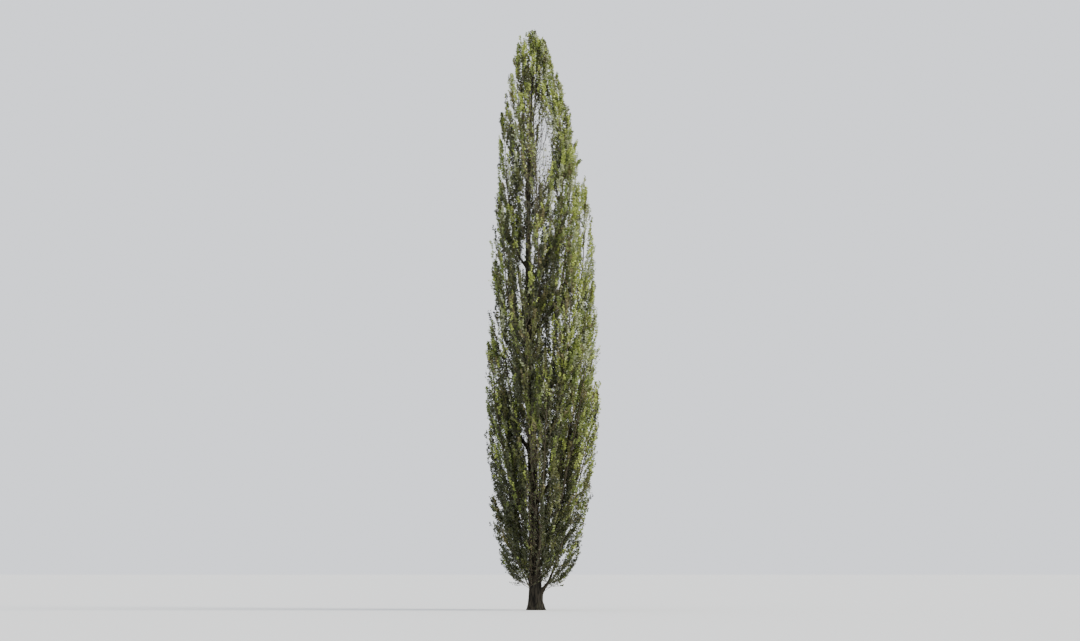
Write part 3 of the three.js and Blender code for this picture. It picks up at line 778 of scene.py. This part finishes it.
def grow_shoots(parents, count, low, size, end_size, random):
    """Shoots stand round each parent by the golden angle. At its end they have the share end_size of
    the usual length."""
    share = spread_shares(len(parents), count, low, HIGHEST_SHOOT, random)
    start, along = points_on(parents, share)
    turn = spiral_turns(len(parents), count, random)
    lean = SHOOT_LEAN * random.uniform(*LEAN_VARIES, share.shape)
    length = SHOOT_LENGTH * size * random.uniform(*SHOOT_VARIES, share.shape)
    length = length * lerp(SHOOT_AT_FOOT, end_size, share)
    outward = across(along, turn).reshape(-1, 3)
    paths = offshoots(start.reshape(-1, 3), along.reshape(-1, 3), outward, lean.ravel(), SHOOT_TURN,
                      length.ravel())
    edge = random.uniform(*RAGGED_EDGE, len(paths))
    good = in_crown(paths[:, -1], TWIGS_FOOT, edge) & in_crown(paths[:, 1], TWIGS_FOOT)
    parent_of = np.repeat(np.arange(len(parents)), count)
    return paths[good], parent_of[good]


def grow_leaves(shoots, random):
    """Leaves stand round each shoot by the golden angle and nod outwards."""
    share = spread_shares(len(shoots), LEAVES_PER_SHOOT, LOWEST_LEAF, 1.0, random)
    base, along = points_on(shoots, share)
    turn = spiral_turns(len(shoots), LEAVES_PER_SHOOT, random)
    aside = across(along, turn)
    droop = random.uniform(*LEAF_DROOP, share.shape)[..., None]
    way = unit(LEAF_AHEAD * along + LEAF_ASIDE * aside - droop * UP)
    normal = unit(across(way, random.uniform(0, 2 * math.pi, share.shape)) + LEAF_FACES_UP * UP)
    length = LEAF_LENGTH * random.uniform(*LEAF_VARIES, share.shape)
    length = length * lerp(LEAF_AT_FOOT, LEAF_AT_TIP, share)
    leaves = {"base": base.reshape(-1, 3), "way": way.reshape(-1, 3), "normal": normal.reshape(-1, 3),
              "length": length.ravel(), "shoot": np.repeat(np.arange(len(shoots)), LEAVES_PER_SHOOT)}
    tip = leaves["base"] + leaves["way"] * leaves["length"][:, None]
    good = in_crown(tip, LEAVES_FOOT, CROWN_EDGE) & in_crown(leaves["base"], LEAVES_FOOT, CROWN_EDGE)
    good &= random.random(len(tip)) < leaf_share(tip)
    return {key: value[good] for key, value in leaves.items()}


def leaf_share(points):
    """The share of leaves that stays at a place. It is low in the bare ovals and along the trunk, and
    lower than elsewhere in the thin patch, deep in the crown and at its edge."""
    out_of_patch = smoothstep(from_oval(THIN_PATCH, points), *THIN_PATCH_EDGE)
    share = lerp(THIN_PATCH["keeps"], 1.0, out_of_patch)
    for oval in BARE_OVALS:
        share = share * lerp(oval["keeps"], 1, smoothstep(from_oval(oval, points), *OVAL_EDGE))
    reach = crown_share(points)
    share = share * lerp(INNER_KEEPS, 1, smoothstep(reach, *INNER_PART))
    share = share * lerp(1, EDGE_KEEPS, smoothstep(reach, *EDGE_PART))
    height = points[:, 2]
    from_trunk = np.abs(points[:, 0] - trunk_centre(height)[:, 0])
    for view in TRUNK_VIEWS:
        seen = (height > view["from"]) & (height < view["to"]) & (from_trunk < TRUNK_VIEW_HALF_WIDTH)
        share = np.where(seen, view["keeps"] * share, share)
    return share


def grow_plume(plume, seed):
    """All branches, shoots and leaves of a plume, and the number of the branch of each shoot."""
    random = np.random.default_rng(seed)
    stem_at, length = plume["whole_stem_at"], plume["whole_length"]
    foot = stem_at(0.0)[2]
    low, top = 1 - smoothstep(foot, *LOW_PLUMES), smoothstep(foot, *TOP_PLUMES)
    spacing = BRANCH_SPACING / (1 + low * (LOW_CROWDING - 1) + top * (TOP_CROWDING - 1))
    branches = grow_branches(plume, stem_at, 0.0, length, spacing, random)
    if plume["foot_limb"]:
        limb_at, limb_length = plume["foot_limb"]["point_at"], plume["foot_limb"]["length"]
        low_branches = grow_branches(plume, limb_at, BARE_BOUGH, limb_length, BOUGH_SPACING * spacing, random)
        branches = np.concatenate([branches, low_branches])
    size = (plume["radius"] / PLUME_RADIUS_LOW) ** SHOOT_SCALING
    shoots, branch_of = grow_shoots(branches, SHOOTS_PER_BRANCH, LOWEST_SHOOT, size, SHOOT_AT_TIP, random)
    stem_end = stem_at(1 - (1 - STATIONS) * LEAFY_END / length)[None]
    end_shoots, _ = grow_shoots(stem_end, END_SHOOTS, 0.0, size, SHOOT_AT_STEM_END, random)
    end_shoots = np.concatenate([end_shoots, stem_end])
    branch_of = np.concatenate([branch_of, len(branches) + np.arange(len(end_shoots))])
    shoots = np.concatenate([shoots, end_shoots])
    return {"branches": branches, "shoots": shoots, "branch_of": branch_of,
            "leaves": grow_leaves(shoots, random)}


def repeated(corners, faces):
    """Many things of one build as one mesh. corners has a row for each, and faces are the first's."""
    offsets = np.arange(len(corners))[:, None, None] * corners.shape[1]
    return corners.reshape(-1, 3), (np.array(faces)[None] + offsets).reshape(-1, 3)


def tapers(paths, radii):
    """Three-sided closed tapers along the paths, each from a ring at its root to a point."""
    sides = 3
    count, stations, _ = paths.shape
    along = unit(paths[:, -1] - paths[:, 0])
    rings = []
    for station in range(stations - 1):
        for corner in range(sides):
            turn = np.full(count, corner * 2 * math.pi / sides)
            rings.append(paths[:, station] + across(along, turn) * radii[station])
    corners = np.stack(rings + [paths[:, -1]], axis=1)
    faces = [(0, 2, 1)]
    for ring in range(stations - 1):
        for corner in range(sides):
            a, b = sides * ring + corner, sides * ring + (corner + 1) % sides
            if ring < stations - 2:
                faces += [(a, b, b + sides), (a, b + sides, a + sides)]
            else:
                faces.append((a, b, sides * (ring + 1)))
    return repeated(corners, faces)


# A poplar leaf's outline, as wide as it is long: stalk, broad shoulders, long straight sides, tip.
# Columns are across, along and above, as shares of the leaf's size.
LEAF_OUTLINE = np.array([
    (0.0, 0.0, 0.0),
    (0.5, 0.24, 0.07),
    (0.31, 0.6, 0.03),
    (0.0, 1.0, -0.1),
    (-0.31, 0.6, 0.03),
    (-0.5, 0.24, 0.07),
])
LEAF_FACES = np.array([(0, 1, 2), (0, 2, 3), (0, 3, 4), (0, 4, 5)])


def leaf_blades(leaves):
    way = leaves["way"]
    side = unit(np.cross(way, leaves["normal"]))
    above = np.cross(side, way)
    length = leaves["length"][:, None, None]
    x, y, z = (LEAF_OUTLINE[None, :, i, None] for i in range(3))
    wide = LEAF_WIDTH / LEAF_LENGTH
    corners = leaves["base"][:, None] + length * (
        wide * x * side[:, None] + y * way[:, None] + z * above[:, None]
    )
    return repeated(corners, LEAF_FACES)


# Materials

MM = 0.001
LICHEN_PATCH = 550 * MM  # width of a green patch on bark
FIBRE_SLENDERNESS = 0.16  # a fibre's width beside its length
FIBRE_RELIEF = 0.25  # and its height beside its width
FACTOR, FIRST, SECOND, MIXED = 0, 6, 7, 2  # a colour Mix node's sockets, as others share their names


def linear(hex_colour):
    """An sRGB hex colour as a linear one."""
    parts = [int(hex_colour[i:i + 2], 16) / 255 for i in (1, 3, 5)]
    turned = [c / 12.92 if c <= 0.04045 else ((c + 0.055) / 1.055) ** 2.4 for c in parts]
    return (*turned, 1.0)


def add(tree, kind, inputs, **settings):
    """A node with its settings. inputs gives each socket a value or the socket that feeds it."""
    made = tree.nodes.new("ShaderNode" + kind)
    for name, value in settings.items():
        setattr(made, name, value)
    for name, value in inputs.items():
        if isinstance(value, bpy.types.NodeSocket):
            tree.links.new(value, made.inputs[name])
        else:
            made.inputs[name].default_value = value
    return made


def finish(name, roughness, specular):
    material = bpy.data.materials.new(name)
    material.use_nodes = True
    shader = material.node_tree.nodes["Principled BSDF"]
    shader.inputs["Roughness"].default_value = roughness
    shader.inputs["Specular IOR Level"].default_value = specular
    return material, material.node_tree, shader


def plain_finish(name, colour, roughness, specular):
    material, _, shader = finish(name, roughness, specular)
    shader.inputs["Base Color"].default_value = linear(colour)
    return material


def bark_material(name, ridge, furrow, lichen, roughness, fibre):
    """Dry, matt bark. Ridges weather grey, and furrows are dark, partly with the bark's own colour and partly
    with painted shade. Soft patches of algae green them. fibre is the width of one of its fibres."""
    material, tree, shader = finish(name, roughness, specular=0.25)
    place = add(tree, "TexCoord", {}).outputs["Object"]
    stretched = add(tree, "Mapping", {"Vector": place, "Scale": (1, 1, FIBRE_SLENDERNESS)}).outputs["Vector"]
    fibres = add(tree, "TexNoise", {"Vector": stretched, "Scale": 1 / fibre, "Detail": 5,
                                    "Roughness": 0.62}).outputs[0]
    patches = add(tree, "TexNoise", {"Vector": place, "Scale": 1 / LICHEN_PATCH, "Detail": 3}).outputs[0]
    darkness = add(tree, "Attribute", {}, attribute_name="furrow").outputs["Fac"]
    worn = add(tree, "MapRange", {"Value": fibres, "From Min": 0.32, "From Max": 0.68,
                                  "To Min": 0.35, "To Max": 1.0}).outputs[0]
    green = add(tree, "MapRange", {"Value": patches, "From Min": 0.5, "From Max": 0.72,
                                   "To Max": 0.55}).outputs[0]
    colour = linear(furrow)
    # The last mix darkens the furrows, partly as painted shade
    for share, other in ((worn, ridge), (green, lichen), (darkness, furrow)):
        colour = add(tree, "Mix", {FACTOR: share, FIRST: colour, SECOND: linear(other)},
                     data_type="RGBA").outputs[MIXED]
    tree.links.new(colour, shader.inputs["Base Color"])
    bump = add(tree, "Bump", {"Height": fibres, "Strength": 0.7, "Distance": FIBRE_RELIEF * fibre})
    tree.links.new(bump.outputs["Normal"], shader.inputs["Normal"])
    return material


# Old poplar bark is cork that has split into long grey-brown ridges, so the trunk looks dark and rough. Its
# colours are set darker still, as painted shade of the crown above. Its fibres are drawn coarser than life,
# so that they show.
trunk_bark = bark_material("furrowed_poplar_bark", ridge="#39342a", furrow="#0d0b06", lichen="#30321f",
                           roughness=0.92, fibre=14 * MM)
# Bark on the boughs is younger: grey, tighter and a little smoother
bough_bark = bark_material("young_poplar_bark", ridge="#4f4838", furrow="#1d1911", lichen="#43452e",
                           roughness=0.85, fibre=8 * MM)
# Stems have smooth, grey-olive rind
stem_rind = bark_material("poplar_stem_rind", ridge="#5f5846", furrow="#332d20", lichen="#53553a",
                          roughness=0.75, fibre=6 * MM)
# Branches have a dull grey-olive rind. This year's shoots have a thin, waxy, ochre one, which catches
# a little light.
branch_rind = plain_finish("poplar_branch_rind", "#5a5245", roughness=0.7, specular=0.3)
shoot_rind = plain_finish("poplar_shoot_rind", "#6f6350", roughness=0.5, specular=0.4)

# Young leaves have a thin wax coat that gives a soft shine. Each spray is of one tint, from a dark olive to a
# fresh yellow-green, with some bronze and some pale undersides. Dark tints go mostly low down, partly as
# older leaves and partly as painted shade, and as painted shade deep in the crown and on the left side. Light
# ones go as painted light to the top, the edge and the sunny right side. The numbers are the tints' shares.
LEAF_TINTS = [
    ("poplar_leaf_deep", "#383e20", 0.18),
    ("poplar_leaf_olive", "#5a5e30", 0.22),
    ("poplar_leaf_bronze", "#6e6840", 0.09),
    ("poplar_leaf_green", "#707e3b", 0.22),
    ("poplar_leaf_fresh", "#9ca950", 0.22),
    ("poplar_leaf_underside", "#a3aa82", 0.09),
]
leaf_waxes = [plain_finish(name, colour, roughness=0.42, specular=0.5) for name, colour, _ in LEAF_TINTS]
tint_shares = np.cumsum([share for *_, share in LEAF_TINTS])

# How the tints are dealt out, as painted shade and painted light. A shade above 1 makes dark ones likelier,
# and below 1 light ones.
SPRAYS_LIKE_BRANCH = 0.65  # the share of sprays that take their branch's tint
GROUND_SHADE = 4.5
TOP_SHADE = 0.5
SHADE_FADE = 0.75  # below 1 the shade gets less most quickly near the ground
INNER_SHADE = 2.0
OUTER_SHADE = 0.5
LEFT_SHADE = 1.45
SUNNY_SHADE = 0.35
SUNNY_SIDE = (-0.6, 2.1)  # metres right of the foot, from the left side's shade to the sun
LOWEST_BRIGHTNESS = 0.7  # the tints beyond this share of their range stay out of the lowest sprays, as painted shade
BRIGHT_FROM = (1.5, 11)  # heights between which they come in


def tints_with_painted_shade_and_light(grown, random):
    """One tint for each spray. Low ones are darker, partly as older leaves and partly as painted shade. Inner
    ones and those on the left side are darker as painted shade, and those high up, at the edge and on the
    sunny right side are lighter as painted light."""
    branch_luck = random.random(grown["branch_of"].max() + 1)[grown["branch_of"]]
    spray_luck = random.random(len(grown["shoots"]))
    luck = np.where(random.random(len(spray_luck)) < SPRAYS_LIKE_BRANCH, branch_luck, spray_luck)
    middle = grown["shoots"][:, 1]
    shade = lerp(GROUND_SHADE, TOP_SHADE, (middle[:, 2] / TREE_HEIGHT) ** SHADE_FADE)
    shade = shade * lerp(INNER_SHADE, OUTER_SHADE, crown_share(middle))
    shade = shade * lerp(LEFT_SHADE, SUNNY_SHADE, smoothstep(middle[:, 0], *SUNNY_SIDE))
    brightness = lerp(LOWEST_BRIGHTNESS, 1, smoothstep(middle[:, 2], *BRIGHT_FROM))
    return np.searchsorted(tint_shares, luck**shade * brightness * tint_shares[-1])


# Growing the foliage, tier by tier

def merged(meshes):
    """Corners and faces of several meshes as one."""
    starts = np.cumsum([0] + [len(corners) for corners, _ in meshes])
    return (np.concatenate([corners for corners, _ in meshes]),
            np.concatenate([faces + start for (_, faces), start in zip(meshes, starts)]))


def piece_with_finishes(name, meshes, materials, material_of_face):
    """A piece of triangles from several meshes."""
    corners, faces = merged(meshes)
    mesh = bpy.data.meshes.new(name)
    mesh.vertices.add(len(corners))
    mesh.vertices.foreach_set("co", corners.astype(np.float32).ravel())
    mesh.loops.add(faces.size)
    mesh.loops.foreach_set("vertex_index", faces.astype(np.int32).ravel())
    mesh.polygons.add(len(faces))
    mesh.polygons.foreach_set("loop_start", np.arange(0, faces.size, faces.shape[1], dtype=np.int32))
    mesh.update(calc_edges=True)
    for material in materials:
        mesh.materials.append(material)
    mesh.polygons.foreach_set("material_index", material_of_face.astype(np.int32))
    piece = bpy.data.objects.new(name, mesh)
    bpy.context.scene.collection.objects.link(piece)
    return piece


ordered = sorted(plumes, key=lambda plume: plume["point_at"](0.5)[2])
foliage_pieces = []
for level in range(TIERS):
    tier = ordered[len(plumes) * level // TIERS:len(plumes) * (level + 1) // TIERS]
    nodes = [plume["name"] for plume in tier]
    grown = [grow_plume(plume, FIRST_PLUME_SEED + plumes.index(plume)) for plume in tier]
    random = np.random.default_rng(FIRST_TINT_SEED + level)

    branches = np.concatenate([each["branches"] for each in grown])
    shoots = np.concatenate([each["shoots"] for each in grown])[:, [0, 2, 3]]
    twig_meshes = [tapers(branches, BRANCH_RADIUS * BRANCH_TAPER), tapers(shoots, SHOOT_RADIUS * SHOOT_TAPER)]
    rinds = np.repeat([0, 1], [len(faces) for _, faces in twig_meshes])
    twigs = piece_with_finishes(f"twigs_{level + 1}", twig_meshes, [branch_rind, shoot_rind], rinds)
    foliage_pieces.append((twigs, nodes, "bark"))

    blades = [leaf_blades(each["leaves"]) for each in grown]
    tints = np.concatenate([tints_with_painted_shade_and_light(each, random)[each["leaves"]["shoot"]] for each in grown])
    tints = np.repeat(tints, len(LEAF_FACES))
    leaves = piece_with_finishes(f"leaves_{level + 1}", blades, leaf_waxes, tints)
    foliage_pieces.append((leaves, nodes, "foliage"))

for piece, material in ((trunk, trunk_bark), (bough_limbs, bough_bark), (plume_stems, stem_rind)):
    piece.data.materials.append(material)
    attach(piece, "root")
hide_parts("trunk")
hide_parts(*[f"bough_{i + 1:02d}" for i in range(BOUGH_COUNT)])
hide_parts(*[plume["name"] for plume in plumes])
for piece, nodes, slot in foliage_pieces:
    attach(piece, "root")
    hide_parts(*nodes)


# Floor, light and camera

FLOOR_SIZE = 3000
SURROUND_STRENGTH = 1.7
LAMP_STRENGTH = 4.6
LAMP_WIDTH = math.radians(30)
LAMP_TURN = (math.radians(50), 0, math.radians(75))
EYE_SIDE = 0.2  # the camera stands this far right of the trunk's foot
EYE_HEIGHT = 1.6
EYE_DISTANCE = 106
AIM_HEIGHT = 12.3
VIEW_DEPTH = 4000
FRAME_WIDTH_PX = 1080
FRAME_HEIGHT_PX = 641
FRAMED_HEIGHT = 27.4  # metres of the scene that the frame takes in, at the tree

deselect_all()
bpy.ops.mesh.primitive_plane_add(size=FLOOR_SIZE, location=(0, 0, 0))
floor = bpy.context.active_object
floor.name = "floor"
floor.data.materials.append(plain_finish("pale_floor", "#d3d5d6", roughness=0.9, specular=0.1))
floor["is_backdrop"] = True

# A wide, pale surround, and a broad soft lamp from the upper right of the camera
world = bpy.data.worlds.new("pale_surround")
bpy.context.scene.world = world
world.use_nodes = True
surround = world.node_tree.nodes["Background"]
surround.inputs["Color"].default_value = linear("#dfe2e8")
surround.inputs["Strength"].default_value = SURROUND_STRENGTH
bpy.ops.object.light_add(type="SUN", rotation=LAMP_TURN)
lamp = bpy.context.active_object
lamp.name = "soft_lamp"
lamp.data.energy = LAMP_STRENGTH
lamp.data.angle = LAMP_WIDTH
lamp.data.color = linear("#fff8ec")[:3]

framed_width = FRAMED_HEIGHT * FRAME_WIDTH_PX / FRAME_HEIGHT_PX
eye = Vector((EYE_SIDE, -EYE_DISTANCE, EYE_HEIGHT))
aim = Vector((EYE_SIDE, 0, AIM_HEIGHT))
bpy.ops.object.camera_add(location=eye)
camera = bpy.context.active_object
camera.name = "camera"
camera.data.lens = camera.data.sensor_width * (aim - eye).length / framed_width
camera.data.clip_end = VIEW_DEPTH
camera.rotation_euler = (aim - eye).to_track_quat("-Z", "Y").to_euler()
bpy.context.scene.camera = camera

dressed_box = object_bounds()
[[list(corner) for corner in box] for box in (solids_box, dressed_box)]
